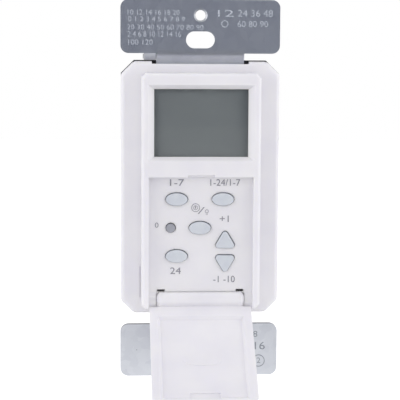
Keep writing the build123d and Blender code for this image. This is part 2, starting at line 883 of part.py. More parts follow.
power_board_gap_x = 0.4
power_board_end_gap = 3.9
power_board_thickness = 1.6
power_board_front = -10.4

case_back = -case_depth
case_inner_back = case_back + case_back_wall
case_body_front = strap_front - case_rim_depth
body_half = flange_half - case_body_inset_x
body_top = flange_top - case_body_inset_z
cavity_half = body_half - case_wall
cavity_top = body_top - case_wall
terminal_height = terminal_height_share * cavity_top
tower_x = boss_x - socket_radius - tower_wall
tower_z = boss_z - socket_radius - tower_wall
niche_floor = body_half - niche_depth
niche_inner = niche_floor - niche_wall
niche_back = niche_front - niche_length
power_board_back = power_board_front - power_board_thickness
power_board_half = niche_inner - power_board_gap_x
power_board_top = cavity_top - power_board_end_gap
post_x = post_shares[0] * power_board_half
post_z = post_shares[1] * power_board_top
post_places = [(x, z) for x in (-post_x, post_x) for z in (-post_z, post_z)]
terminal_screw_depth = (niche_front + niche_back) / 2
terminals = {
    "terminal_plate_line": (-1, 1),
    "terminal_plate_load": (-1, -1),
    "terminal_plate_neutral": (1, 1),
    "terminal_plate_traveler": (1, -1),
}


def mirrored_block(side, near, far, back, front, low, high):
    """A block between two distances from the middle, on the side that is given."""
    return block(*sorted((side * near, side * far)), back, front, low, high)


def rear_housing():
    """The dark moulded case: rim, body, screw towers, terminal niches and board posts."""
    rim_width = flange_width - 2 * case_rim_inset
    rim_height = flange_height + case_rim_rise
    rim_place = Pos(0, flange_drift + case_rim_rise / 2)
    case = slab(rim_place * cut_corners(rim_width, rim_height, flange_corner), case_body_front, strap_front)
    body_outline = Plane.XZ.offset(case_body_front) * cut_corners(2 * body_half, 2 * body_top, case_corner)
    body = extrude(body_outline, amount=case_back - case_body_front, taper=case_taper)
    case += fillet(body.faces().sort_by(Axis.Y)[-1].edges(), case_back_round)
    cavity_outline = Rectangle(2 * cavity_half, 2 * tower_z) + Rectangle(2 * tower_x, 2 * cavity_top)
    cavity = slab(cavity_outline, case_inner_back, strap_front + overrun)
    for side, level in terminals.values():
        centre = level * terminal_height
        low = centre - niche_half_height - niche_wall
        high = centre + niche_half_height + niche_wall
        cavity -= mirrored_block(
            side, niche_inner, body_half, niche_back - niche_wall, niche_front + niche_wall, low, high
        )
    case -= cavity
    case -= slab(plate_outline(strap_play), strap_back, strap_front + overrun)
    channel = Rectangle(neck_notch_width, rim_height + 2 * overrun)
    case -= slab(channel, strap_back, strap_front + overrun)
    for side, level in terminals.values():
        case = cut_niche(case, side, level * terminal_height)
    for x, z in corner_places:
        case -= rod(x, z, socket_radius, boss_end - boss_clearance, strap_front + overrun)
        case -= rod(x, z, housing_screw_radius + housing_screw_clearance, case_back, strap_front)
        head_radius = housing_screw_head_radius + housing_screw_clearance
        case -= rod(x, z, head_radius, case_back - overrun, screw_seat)
    for x, z in post_places:
        case += rod(x, z, post_radius, case_inner_back - boss_embed, power_board_back - seat_gap)
        case -= rod(x, z, board_screw_radius + pilot_clearance, post_pilot_back, power_board_front)
    return case


def cut_niche(case, side, centre):
    """One terminal niche in the side wall, with the ways through for its screw and its tab."""
    low = centre - niche_half_height
    high = centre + niche_half_height
    case -= mirrored_block(side, niche_floor, body_half + overrun, niche_back, niche_front, low, high)
    relief = Pos(terminal_screw_depth, centre) * Circle(terminal_screw_radius + terminal_screw_relief)
    ends = sorted((side * (niche_inner - overrun), side * (niche_floor + overrun)))
    case -= side_piece(relief, *ends)
    tab_half = terminal_tab_width / 2 + terminal_slot_gap
    tab_back = power_board_front - terminal_slot_gap
    tab_front = power_board_front + terminal_thickness + terminal_slot_gap
    return case - mirrored_block(
        side, niche_inner - overrun, niche_floor + overrun, tab_back, tab_front, centre - tab_half, centre + tab_half
    )


def terminal_plate(name):
    """A brass plate in its niche, tapped for the screw, with a tab soldered on the power board."""
    side, level = terminals[name]
    centre = level * terminal_height
    half = terminal_plate_height / 2
    back = niche_back + terminal_plate_margin
    tab_front = power_board_front + seat_gap + terminal_thickness
    outer = niche_floor + seat_gap + terminal_thickness
    plate = mirrored_block(side, niche_floor + seat_gap, outer, back, tab_front, centre - half, centre + half)
    tab_half = terminal_tab_width / 2
    tab_inner = power_board_half - terminal_tab_overlap
    tab_back = power_board_front + seat_gap
    plate += mirrored_block(side, tab_inner, outer, tab_back, tab_front, centre - tab_half, centre + tab_half)
    thread = Pos(terminal_screw_depth, centre) * Circle(terminal_screw_radius + thread_clearance)
    return plate - side_piece(thread, *sorted((side * niche_floor, side * (outer + overrun))))


def clamp_plates():
    """Four square washers with ribs, which press the wires on the terminal plates."""
    near = niche_floor + terminal_thickness + 2 * seat_gap
    far = near + clamp_thickness
    plates = []
    for side, level in terminals.values():
        centre = level * terminal_height
        half = clamp_side / 2
        back = terminal_screw_depth - half
        plate = mirrored_block(side, near, far, back, back + clamp_side, centre - half, centre + half)
        hole = Pos(terminal_screw_depth, centre) * Circle(terminal_screw_radius + clamp_hole_clearance)
        plate -= side_piece(hole, *sorted((side * (near - overrun), side * (far + overrun))))
        for edge in (-1, 1):
            rib = centre + edge * (half - clamp_tooth_width)
            low = rib - clamp_tooth_width / 2
            high = rib + clamp_tooth_width / 2
            plate -= mirrored_block(side, near, near + clamp_tooth_depth, back, back + clamp_side, low, high)
        plates.append(plate)
    return group(plates)


def terminal_screws():
    """Four slotted binding screws, driven in from the sides."""
    seat = niche_floor + terminal_thickness + clamp_thickness + 3 * seat_gap
    head_end = seat + terminal_screw_head_height
    screws = []
    for side, level in terminals.values():
        at_screw = Pos(terminal_screw_depth, level * terminal_height)
        head = side_piece(at_screw * Circle(terminal_screw_head_radius), *sorted((side * seat, side * head_end)))
        ends = sorted((side * seat, side * (seat - terminal_screw_length)))
        shank = side_piece(at_screw * Circle(terminal_screw_radius), *ends)
        slot = at_screw * Rectangle(2 * terminal_screw_head_radius, terminal_screw_slot_width)
        ends = sorted((side * head_end, side * (head_end - terminal_screw_slot_depth)))
        screws.append(head + shank - side_piece(slot, *ends))
    return group(screws)


def housing_screws():
    """Four screws that pull the rear housing on the bosses of the front housing."""
    screws = []
    head_back = screw_seat - housing_screw_head_height
    for x, z in corner_places:
        screw = rod(x, z, housing_screw_head_radius, head_back, screw_seat)
        screw += rod(x, z, housing_screw_radius, screw_seat, pilot_end - housing_screw_tip_room)
        slot = Pos(x, z) * Rectangle(2 * housing_screw_head_radius, housing_screw_slot_width)
        cross = Pos(x, z) * Rectangle(housing_screw_slot_width, 2 * housing_screw_head_radius)
        screw -= slab(slot + cross, head_back, head_back + housing_screw_slot_depth)
        screws.append(screw)
    return group(screws)


# Power board and what it carries
power_screw_length = 5.0
# Each component's share of the board's half width and half height, and of the room behind the board
relay_place_shares = (-0.333, 0.33)
relay_size_shares = (0.565, 0.355, 0.939)
relay_round = 0.6
film_place_shares = (0.652, 0.337)
film_size_shares = (0.268, 0.33, 0.814)
film_round = 0.5
can_place_shares = (0.536, -0.315)
can_radius_share = 0.362
can_height_share = 0.782
can_groove_depth = 0.4
can_groove_rise = 1.5
can_groove_width = 1.0
disc_place_shares = (-0.536, -0.242)
disc_radius_share = 0.344
disc_thickness = 4.2
disc_standoff = 1.2
disc_lead_radius = 0.4
disc_lead_share = 0.53
bridge_place_shares = (0.304, -0.784)
bridge_size_shares = (0.29, 0.115, 0.2)
bridge_notch_radius = 0.8
fuse_place_shares = (-0.478, -0.509)
fuse_length_share = 0.348
fuse_radius = 1.8
fuse_cap_length = 2.0
fuse_glass_radius = 1.55

post_pilot_back = power_board_front + seat_gap - power_screw_length - board_screw_tip_room
component_front = power_board_back - seat_gap
component_room = component_front - case_inner_back


def on_power_board(shares):
    """The place on the power board that two shares of its half sizes give."""
    return shares[0] * power_board_half, shares[1] * power_board_top


def boxed_component(place_shares, size_shares, round_radius):
    """A box-shaped component on the back of the power board, with its far edges rounded."""
    width, height, depth = size_shares
    outline = Rectangle(2 * width * power_board_half, 2 * height * power_board_top)
    case_back_end = component_front - depth * component_room
    case = slab(Pos(*on_power_board(place_shares)) * outline, case_back_end, component_front)
    return fillet(case.faces().sort_by(Axis.Y)[-1].edges(), round_radius)


def power_board():
    """The board that carries the relay and the supply, on four posts of the rear housing."""
    outline = Rectangle(2 * power_board_half, 2 * power_board_top)
    board = slab(outline, power_board_back, power_board_front)
    for x, z in post_places:
        hole_radius = board_screw_radius + housing_screw_clearance
        board -= rod(x, z, hole_radius, power_board_back - overrun, power_board_front + overrun)
    side = pin_side + 2 * pin_clearance
    for x in connector_pin_places():
        hole = Pos(x, connector_z) * Rectangle(side, side)
        board -= slab(hole, power_board_back - overrun, power_board_front + overrun)
    return board


def power_board_screws():
    """Four screws that hold the power board on the posts."""
    screws = []
    seat = power_board_front + seat_gap
    for x, z in post_places:
        screw = rod(x, z, board_screw_head_radius, seat, seat + board_screw_head_height)
        screw += rod(x, z, board_screw_radius, seat - power_screw_length, seat)
        slot = Pos(x, z) * Rectangle(2 * board_screw_head_radius, board_screw_slot_width)
        head_front = seat + board_screw_head_height
        screws.append(screw - slab(slot, head_front - board_screw_slot_depth, head_front))
    return group(screws)


def board_header():
    """The pin half of the board connector, soldered in the power board."""
    body = connector_block(power_board_front + seat_gap, power_board_front + header_height)
    pin_front = board_back - seat_gap - 2 * pin_end_gap
    for x in connector_pin_places():
        pin = Pos(x, connector_z) * Rectangle(pin_side, pin_side)
        body += slab(pin, power_board_back, pin_front)
    return body


def relay():
    """The sealed relay that switches the light."""
    return boxed_component(relay_place_shares, relay_size_shares, relay_round)


def film_capacitor():
    """The box-shaped capacitor of the supply."""
    return boxed_component(film_place_shares, film_size_shares, film_round)


def electrolytic_capacitor():
    """A round can with a groove near its seal."""
    x, z = on_power_board(can_place_shares)
    radius = can_radius_share * power_board_half
    can = rod(x, z, radius, component_front - can_height_share * component_room, component_front)
    groove_front = component_front - can_groove_rise
    groove = rod(x, z, radius + overrun, groove_front - can_groove_width, groove_front)
    groove -= rod(x, z, radius - can_groove_depth, groove_front - can_groove_width, groove_front)
    return can - groove


def varistor():
    """The surge disc, which stands on its two leads."""
    x, z = on_power_board(disc_place_shares)
    radius = disc_radius_share * power_board_half
    centre_depth = component_front - disc_standoff - radius
    plane = Plane(origin=(x, -centre_depth, z - disc_thickness / 2), z_dir=(0, 0, 1))
    disc = extrude(plane * Circle(radius), amount=disc_thickness)
    disc = fillet(disc.edges().filter_by(GeomType.CIRCLE), disc_thickness / 4)
    for side in (-1, 1):
        lead_x = x + side * disc_lead_share * radius
        disc += rod(lead_x, z, disc_lead_radius, centre_depth, component_front)
    return disc


def bridge_rectifier():
    """The small block that rectifies the supply."""
    width, height, depth = bridge_size_shares
    x, z = on_power_board(bridge_place_shares)
    outline = Pos(x, z) * Rectangle(2 * width * power_board_half, 2 * height * power_board_top)
    notch = Pos(x - width * power_board_half, z) * Circle(bridge_notch_radius)
    return slab(outline - notch, component_front - depth * component_room, component_front)


def fuse():
    """A glass tube fuse with two metal caps, lying on the board."""
    x, z = on_power_board(fuse_place_shares)
    at_fuse = Pos(component_front - fuse_radius, z)
    left = x - fuse_length_share * power_board_half
    right = x + fuse_length_share * power_board_half
    tube = side_piece(at_fuse * Circle(fuse_glass_radius), left, right)
    for start in (left, right - fuse_cap_length):
        tube += side_piece(at_fuse * Circle(fuse_radius), start, start + fuse_cap_length)
    return tube


nodes = {
    "mounting_strap": mounting_strap(),
    "ground_screw": ground_screw(),
    "front_housing": front_housing(),
    "rear_housing": rear_housing(),
    "housing_screws": housing_screws(),
    "door": door(),
    "display_window": display_window(),
    "lcd_glass": lcd_glass(),
    "lcd_reflector": lcd_reflector(),
    "lcd_holder": lcd_holder(),
    "zebra_strip_upper": zebra_strip(1),
    "zebra_strip_lower": zebra_strip(-1),
    "control_board": control_board(),
    "control_board_screws": control_board_screws(),
    "keypad_mat": keypad_mat(),
    "microcontroller": microcontroller(),
    "crystal": crystal(),
    "backup_capacitor": backup_capacitor(),
    "board_socket": board_socket(),
    "board_header": board_header(),
    "power_board": power_board(),
    "power_board_screws": power_board_screws(),
    "relay": relay(),
    "film_capacitor": film_capacitor(),
    "electrolytic_capacitor": electrolytic_capacitor(),
    "varistor": varistor(),
    "bridge_rectifier": bridge_rectifier(),
    "fuse": fuse(),
    "clamp_plates": clamp_plates(),
    "terminal_screws": terminal_screws(),
}
for key_name in keys:
    nodes[key_name] = key_cap(key_name)
for terminal_name in terminals:
    nodes[terminal_name] = terminal_plate(terminal_name)

os.makedirs("parts", exist_ok=True)
for node_name, solid in nodes.items():
    export_step(solid, f"parts/{node_name}.step")

print(len(nodes), "nodes written")
print("door reach closed", round(recess_top - door_top_gap - hinge_z, 2))
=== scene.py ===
# %% [markdown]
# # A timer light switch, dressed in Blender
#
# The switch is a white moulded front and a dark moulded case on a galvanised steel strap. Its shapes
# come packed from the CAD model, in metres, with X to the right, Y into the wall and Z up. This
# notebook gives them their finishes, adds what is printed or stamped on them, and lights them in a
# plain white studio. Nothing here moves or reshapes a CAD solid.

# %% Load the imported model
import math

import bpy
from mathutils import Matrix, Vector


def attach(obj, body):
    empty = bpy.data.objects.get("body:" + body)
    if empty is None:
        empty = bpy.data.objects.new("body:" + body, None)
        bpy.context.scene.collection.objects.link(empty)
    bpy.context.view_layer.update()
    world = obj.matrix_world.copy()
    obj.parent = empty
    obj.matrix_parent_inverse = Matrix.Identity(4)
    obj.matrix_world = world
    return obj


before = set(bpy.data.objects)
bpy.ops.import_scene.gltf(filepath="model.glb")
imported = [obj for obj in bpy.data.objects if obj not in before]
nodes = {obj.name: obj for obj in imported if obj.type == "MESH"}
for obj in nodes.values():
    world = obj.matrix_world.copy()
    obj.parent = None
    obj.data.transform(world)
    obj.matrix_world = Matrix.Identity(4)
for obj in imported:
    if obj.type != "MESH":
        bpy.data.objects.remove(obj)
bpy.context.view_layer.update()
bpy.ops.object.select_all(action="DESELECT")
print("CAD nodes:", len(nodes))

# %% [markdown]
# ## Three helpers for finishes
#
# Colours are written as sRGB hex values, as a colour picker shows them, but Blender
# shades in linear light, so one function turns them. A second adds a shader node with its settings
# and links in one line. A third starts a finish from the Principled shader, which can be plastic,
# metal, rubber or glass, so each finish only says how it differs.

# %% Colour, node and finish helpers
MM = 0.001


def linear(hex_colour):
    """The linear RGBA value of an sRGB hex colour."""
    channels = [int(hex_colour[i : i + 2], 16) / 255 for i in (1, 3, 5)]
    return [c / 12.92 if c <= 0.04045 else ((c + 0.055) / 1.055) ** 2.4 for c in channels] + [1.0]


def add_node(tree, kind, settings=None, links=None):
    """Adds a node; a setting is an input's value or the node's own property, and a link an output."""
    node = tree.nodes.new(kind)
    for name, value in (settings or {}).items():
        if isinstance(name, int) or name in node.inputs:
            node.inputs[name].default_value = value
        else:
            setattr(node, name, value)
    for name, source in (links or {}).items():
        tree.links.new(source, node.inputs[name])
    return node


def start_finish(name, colour, **settings):
    """A new material with one Principled shader; the settings are its sockets, with _ for a space."""
    material = bpy.data.materials.new(name)
    material.use_nodes = True
    tree = material.node_tree
    shader = tree.nodes["Principled BSDF"]
    shader.inputs["Base Color"].default_value = linear(colour)
    for socket, value in settings.items():
        shader.inputs[socket.replace("_", " ")].default_value = value
    return material, tree, shader


# %% [markdown]
# ## What makes a surface look made
#
# No real surface has one colour. Two more helpers lay the small differences over a finish, both from
# noise on Object coordinates, so that the pattern is as large on the part as the size in millimetres
# says. `mottle` lets the colour drift between two shades, and `texture_skin` raises a fine grain, such
# as a mould's spark-eroded skin leaves on plastic.

# %% Mottle and grain


def pattern(tree, size_mm, detail=2.0, stretch=(1, 1, 1)):
    """Noise whose blobs are about size_mm wide; stretch squeezes it along an axis."""
    place = add_node(tree, "ShaderNodeTexCoord").outputs["Object"]
    turned = add_node(tree, "ShaderNodeMapping", {"Scale": stretch}, {"Vector": place})
    settings = {"Scale": 1 / (size_mm * MM), "Detail": detail}
    return add_node(tree, "ShaderNodeTexNoise", settings, {"Vector": turned.outputs["Vector"]})


def ramp_between(tree, factor, first, second, low=0.3, high=0.7):
    """A colour that runs from the first shade to the second as the factor goes from low to high."""
    ramp = add_node(tree, "ShaderNodeValToRGB", None, {"Fac": factor})
    ends = ramp.color_ramp.elements
    ends[0].position, ends[1].position = low, high
    ends[0].color, ends[1].color = linear(first), linear(second)
    return ramp.outputs["Color"]


def mottle(tree, shader, first, second, size_mm, stretch=(1, 1, 1)):
    """Lets the base colour drift between two close shades."""
    noise = pattern(tree, size_mm, 3.0, stretch)
    tree.links.new(ramp_between(tree, noise.outputs["Fac"], first, second), shader.inputs["Base Color"])


def roughness_drift(tree, shader, low, high, size_mm, stretch=(1, 1, 1)):
    """Lets the roughness drift, as handling, flow lines or rolling leave it."""
    noise = pattern(tree, size_mm, 3.0, stretch)
    settings = {"To Min": low, "To Max": high}
    drift = add_node(tree, "ShaderNodeMapRange", settings, {"Value": noise.outputs["Fac"]})
    tree.links.new(drift.outputs["Result"], shader.inputs["Roughness"])


def texture_skin(tree, shader, size_mm, depth_mm, strength=1.0, stretch=(1, 1, 1)):
    """Raises a fine grain of the given width and depth."""
    noise = pattern(tree, size_mm, 2.0, stretch)
    settings = {"Strength": strength, "Distance": depth_mm * MM}
    bump = add_node(tree, "ShaderNodeBump", settings, {"Height": noise.outputs["Fac"]})
    tree.links.new(bump.outputs["Normal"], shader.inputs["Normal"])


# %% [markdown]
# ## The steel strap
#
# The strap is pressed from hot-dip galvanised sheet. The zinc freezes in crystals a few millimetres
# wide, called spangle, which is faint on thin sheet, and rolling leaves fine lines along it. A Voronoi
# texture gives the crystals: each cell gets its own grey and its own roughness. The press shears the
# edges, which show bare, duller steel; their colour is also darkened well beyond that, as painted shade.
# A face that doesn't look along Y is such an edge, and the surface normal tells it apart.

# %% Galvanised steel
CRYSTAL_MM, WANDER_MM = 2.2, 1.6
galvanised, tree, shader = start_finish("galvanised_sheet_steel", "#d6d9de", Metallic=1.0)
place = add_node(tree, "ShaderNodeTexCoord").outputs["Object"]
wander = pattern(tree, 2.0).outputs["Color"]
wander_settings = {"operation": "SCALE", "Scale": WANDER_MM * MM}
bent = add_node(tree, "ShaderNodeVectorMath", wander_settings, {"Vector": wander})
moved = add_node(tree, "ShaderNodeVectorMath", {"operation": "ADD"}, {0: place, 1: bent.outputs["Vector"]})
crystal_settings = {"Scale": 1 / (CRYSTAL_MM * MM)}
crystals = add_node(tree, "ShaderNodeTexVoronoi", crystal_settings, {"Vector": moved.outputs["Vector"]})
tone = add_node(tree, "ShaderNodeSeparateColor", None, {"Color": crystals.outputs["Color"]})
grey = ramp_between(tree, tone.outputs["Red"], "#d2d5db", "#dadde2", 0.0, 1.0)
facing = add_node(tree, "ShaderNodeNewGeometry").outputs["Normal"]
parts = add_node(tree, "ShaderNodeSeparateXYZ", None, {"Vector": facing})
along_y = add_node(tree, "ShaderNodeMath", {"operation": "ABSOLUTE"}, {0: parts.outputs["Y"]})
# Painted shade: the colour of every face that doesn't look along Y, the sheet's edges, is darkened.
sheared_edge_painted_shade = ramp_between(tree, along_y.outputs[0], "#8a8d93", "#ffffff", 0.45, 0.55)
shaded = add_node(tree, "ShaderNodeVectorMath", {"operation": "MULTIPLY"}, {0: grey, 1: sheared_edge_painted_shade})
tree.links.new(shaded.outputs["Vector"], shader.inputs["Base Color"])
gloss_settings = {"To Min": 0.34, "To Max": 0.39}
gloss = add_node(tree, "ShaderNodeMapRange", gloss_settings, {"Value": tone.outputs["Green"]})
tree.links.new(gloss.outputs["Result"], shader.inputs["Roughness"])
texture_skin(tree, shader, 0.5, 0.004, 0.5, (0.06, 1, 1))
print("finish:", galvanised.name)

# %% [markdown]
# Small characters are pressed into both ears. Where the die broke the zinc's bright skin, it is duller
# than the sheet around it: pale on the upper ear, which mirrors a dark card. On the lower ear, which
# mirrors the floor, the marks are a darker copy of the same finish, and that dark is painted shade.

# %% Pressed marks
pressed_mark, tree, shader = start_finish("pressed_mark_in_zinc", "#bcc2cc", Metallic=0.2, Roughness=0.6)
mottle(tree, shader, "#a9b0bc", "#ccd1d9", 0.5)
# The lower ear's copy: the same duller zinc, its colour painted darker as painted shade.
pressed_mark_painted_shade, tree, shader = start_finish("shaded_mark_in_zinc", "#92989f", Metallic=0.3, Roughness=0.6)
mottle(tree, shader, "#858b93", "#a0a5ab", 0.6)
print("finishes:", pressed_mark.name, pressed_mark_painted_shade.name)

# %% [markdown]
# ## White ABS
#
# The front and the door are moulded in white ABS with a fine satin skin. White plastic is never pure
# white: it leans a little to blue, and light enters it slightly, which softens the shadows in its
# corners. A little subsurface gives that. The grain of such a mould is about a tenth of a millimetre,
# and is drawn at a quarter of a millimetre, so that it shows.

# %% White moulded plastic
white_abs, tree, shader = start_finish("moulded_white_abs", "#ecebef", Roughness=0.42, IOR=1.54)
shader.inputs["Subsurface Weight"].default_value = 0.6
shader.inputs["Subsurface Radius"].default_value = (0.9, 0.9, 1.0)  # a little more blue goes deep
shader.inputs["Subsurface Scale"].default_value = 1.2 * MM
mottle(tree, shader, "#eae9ee", "#efeef1", 9.0)
roughness_drift(tree, shader, 0.38, 0.47, 5.0)
texture_skin(tree, shader, 0.25, 0.004, 0.35)
print("finish:", white_abs.name)

# %% [markdown]
# ## The dark case
#
# The case behind the wall is dark PBT, filled with glass fibre for heat. The fibres leave faint pale
# flow streaks, and the mould a coarser grain than on the front, because nobody looks there.

# %% Dark moulded plastic
dark_pbt, tree, shader = start_finish("moulded_dark_pbt", "#35353a", Roughness=0.5, IOR=1.55)
mottle(tree, shader, "#313136", "#3b3b40", 6.0, (1, 0.3, 1))
roughness_drift(tree, shader, 0.42, 0.6, 3.0)
texture_skin(tree, shader, 0.35, 0.012, 0.6)
print("finish:", dark_pbt.name)

# %% [markdown]
# ## Keys and buttons
#
# The keys are pale blue-grey silicone rubber: matt, and slightly see-through at its edges. The reset
# button is hard grey plastic, so it is given a little more gloss. Behind the keys lies the mat that
# carries their domes, of the same rubber. Two more rubber strips carry the display's signals: thin
# black conducting layers between pink ones, drawn at a quarter of a millimetre so that they show.

# %% Silicone keys, the reset button and the rubber inside
key_silicone, tree, shader = start_finish("moulded_key_silicone", "#d0d5dc", Roughness=0.62, IOR=1.43)
shader.inputs["Subsurface Weight"].default_value = 0.2
shader.inputs["Subsurface Radius"].default_value = (0.8, 0.9, 1.0)
shader.inputs["Subsurface Scale"].default_value = 1.0 * MM
mottle(tree, shader, "#cdd2da", "#d3d8de", 2.5)
texture_skin(tree, shader, 0.18, 0.005, 0.4)

reset_plastic, tree, shader = start_finish("moulded_grey_button", "#a2a4ad", Roughness=0.45, IOR=1.5)
mottle(tree, shader, "#9ea0a9", "#a8aab3", 1.2)
texture_skin(tree, shader, 0.15, 0.004, 0.4)

mat_silicone, tree, shader = start_finish("keypad_mat_silicone", "#ccd1d9", Roughness=0.7, IOR=1.43)
mottle(tree, shader, "#c8cdd6", "#d0d5dc", 4.0)
strip_silicone, tree, shader = start_finish("striped_contact_rubber", "#c98f9c", Roughness=0.6, IOR=1.43)
mottle(tree, shader, "#c98f9c", "#2b2b2e", 0.25, (1, 0.02, 0.02))
print("finishes:", key_silicone.name, reset_plastic.name, mat_silicone.name, strip_silicone.name)

# %% [markdown]
# ## The display
#
# The display is a liquid crystal glass behind a clear pane. With nothing shown, its polariser and
# reflector look plain grey. The pane is polycarbonate, clear and glossy, so it is given full
# transmission. Its index is set well below the real 1.58, because seen square on through the bezel it
# shows hardly any reflection. The glass keeps a solid colour and a little gloss, because its two layers
# and the film behind them are too thin to tell apart.

# %% Pane, glass, film and holder
clear_pane, tree, shader = start_finish("clear_polycarbonate_pane", "#f6f8f8", Roughness=0.03, IOR=1.2)
shader.inputs["Transmission Weight"].default_value = 1.0
texture_skin(tree, shader, 12.0, 0.01, 0.2)

display_glass, tree, shader = start_finish("grey_display_glass", "#a1a5a5", Roughness=0.22, IOR=1.5)
mottle(tree, shader, "#9fa3a3", "#a5a8a8", 14.0)
texture_skin(tree, shader, 0.2, 0.002, 0.2)

silver_film, tree, shader = start_finish("silver_reflector_film", "#a9ada4", Metallic=0.7, Roughness=0.4)
mottle(tree, shader, "#a4a89f", "#b0b4ab", 1.0)
holder_plastic, tree, shader = start_finish("moulded_natural_abs", "#dcdad2", Roughness=0.5, IOR=1.54)
mottle(tree, shader, "#d8d6ce", "#e0ded6", 5.0)
print("finishes:", clear_pane.name, display_glass.name, silver_film.name, holder_plastic.name)

# %% [markdown]
# ## Metals of the fasteners and terminals
#
# Screws are zinc plated, the binding screws and terminal plates are brass, and the ground screw is
# dyed green, as a ground screw is. Turned and rolled metal has fine lines, so each gets a grain that is
# drawn out in one direction.

# %% Zinc, brass, green dye and the bright can
zinc_plate, tree, shader = start_finish("zinc_plated_screw_steel", "#b9bcc0", Metallic=1.0, Roughness=0.35)
mottle(tree, shader, "#b2b5ba", "#c3c6c9", 1.5)
roughness_drift(tree, shader, 0.28, 0.45, 0.8)
texture_skin(tree, shader, 0.15, 0.004, 0.5, (1, 6, 1))

brass, tree, shader = start_finish("rolled_terminal_brass", "#d8b46a", Metallic=1.0, Roughness=0.3)
mottle(tree, shader, "#cfa85c", "#dfbf7a", 2.5)
roughness_drift(tree, shader, 0.24, 0.42, 1.2)
texture_skin(tree, shader, 0.15, 0.004, 0.5, (1, 5, 1))

green_dye, tree, shader = start_finish("green_dyed_zinc", "#2f8a55", Metallic=0.75, Roughness=0.38)
mottle(tree, shader, "#287d4b", "#389a61", 1.5)
texture_skin(tree, shader, 0.15, 0.004, 0.5)

bright_can, tree, shader = start_finish("nickel_plated_can", "#c9ccd0", Metallic=1.0, Roughness=0.25)
mottle(tree, shader, "#c2c5ca", "#d2d4d7", 2.0)
print("finishes:", zinc_plate.name, brass.name, green_dye.name, bright_can.name)

# %% [markdown]
# ## Boards and components
#
# The boards are glass-fibre laminate under green solder mask. Copper tracks lie under the mask and
# show as paler lines on a 45 degree and square grid, which a brick texture draws well enough here.

# %% Masked laminate
laminate, tree, shader = start_finish("green_masked_laminate", "#1f5a35", Roughness=0.35, IOR=1.55)
place = add_node(tree, "ShaderNodeTexCoord").outputs["Object"]
laid = add_node(tree, "ShaderNodeMapping", {"Rotation": (math.pi / 2, 0, 0)}, {"Vector": place})
track_settings = {
    "Color1": linear("#1b5230"),
    "Color2": linear("#20603a"),
    "Mortar": linear("#3d8a58"),
    "Scale": 1 / (12.0 * MM),
    "Mortar Size": 0.035,
}
tracks = add_node(tree, "ShaderNodeTexBrick", track_settings, {"Vector": laid.outputs["Vector"]})
tree.links.new(tracks.outputs["Color"], shader.inputs["Base Color"])
print("finish:", laminate.name)

# %% [markdown]
# The components keep the colours that makers give them: black epoxy for a chip and the sockets, blue
# for a relay's case, yellow for a film capacitor, a dark shrunk sleeve on the electrolytic one, and
# blue lacquer on the varistor, which is dipped and so a little glossier. The fuse is drawn glass.

# %% Component finishes
epoxy_black, tree, shader = start_finish("moulded_black_epoxy", "#1d1d20", Roughness=0.45, IOR=1.55)
mottle(tree, shader, "#1a1a1d", "#232327", 2.0)
texture_skin(tree, shader, 0.2, 0.006, 0.5)
relay_blue, tree, shader = start_finish("moulded_relay_case", "#2a5fa8", Roughness=0.4, IOR=1.55)
mottle(tree, shader, "#275a9f", "#2e66b2", 5.0)
film_yellow, tree, shader = start_finish("moulded_capacitor_case", "#c9a53a", Roughness=0.42, IOR=1.55)
mottle(tree, shader, "#c39f35", "#d0ad44", 5.0)
can_sleeve, tree, shader = start_finish("shrunk_capacitor_sleeve", "#22304e", Roughness=0.3, IOR=1.52)
mottle(tree, shader, "#1f2c48", "#273655", 4.0)
varistor_coat, tree, shader = start_finish("dipped_varistor_coat", "#27508f", Roughness=0.35, IOR=1.55)
mottle(tree, shader, "#234a86", "#2c589a", 2.0)
fuse_glass, tree, shader = start_finish("drawn_fuse_glass", "#e6eaea", Roughness=0.05, IOR=1.5)
shader.inputs["Transmission Weight"].default_value = 0.8
texture_skin(tree, shader, 3.0, 0.01, 0.2)
print("finishes so far:", len(bpy.data.materials))

# %% [markdown]
# ## Dressing the nodes
#
# Each CAD node comes with one material slot, so a finish is put there, and what is alike shares one.
# Light from a lamp can't find its way through a refracting pane, which would leave the display dark, so
# the pane casts no shadow.

# %% Give each node its finish
finishes = {
    galvanised: ["mounting_strap"],
    green_dye: ["ground_screw"],
    white_abs: ["front_housing", "door"],
    dark_pbt: ["rear_housing"],
    zinc_plate: ["housing_screws", "control_board_screws", "power_board_screws", "clamp_plates"],
    clear_pane: ["display_window"],
    display_glass: ["lcd_glass"],
    silver_film: ["lcd_reflector"],
    holder_plastic: ["lcd_holder"],
    strip_silicone: ["zebra_strip_upper", "zebra_strip_lower"],
    laminate: ["control_board", "power_board"],
    mat_silicone: ["keypad_mat"],
    key_silicone: ["program_key", "edit_key", "override_key", "set_key", "up_key", "down_key"],
    reset_plastic: ["reset_button"],
    epoxy_black: ["microcontroller", "board_socket", "board_header", "bridge_rectifier"],
    bright_can: ["crystal", "backup_capacitor"],
    relay_blue: ["relay"],
    film_yellow: ["film_capacitor"],
    can_sleeve: ["electrolytic_capacitor"],
    varistor_coat: ["varistor"],
    fuse_glass: ["fuse"],
    brass: [
        "terminal_plate_line",
        "terminal_plate_load",
        "terminal_plate_neutral",
        "terminal_plate_traveler",
        "terminal_screws",
    ],
}
for material, names in finishes.items():
    for name in names:
        nodes[name].material_slots[0].material = material
nodes["display_window"].visible_shadow = False
dressed = {name for names in finishes.values() for name in names}
print("dressed:", len(dressed), "missing:", sorted(set(nodes) - dressed))

# %% [markdown]
# ## Liner in the hinge
#
# On the real switch the door's tongue sits so snugly in its notch that only hairlines show around it,
# with a dark relief slot at each end. The model's joint needs more room, so a thin white liner, just
# under the recess floor, narrows the gaps: a bar over the barrel, a strip beside each end of the tongue,
# broken where the pin passes, and a corner where the tongue is bevelled. A plane as large as the notch
# is bisected along these lines, the middle is deleted, and what is left gets its thickness.

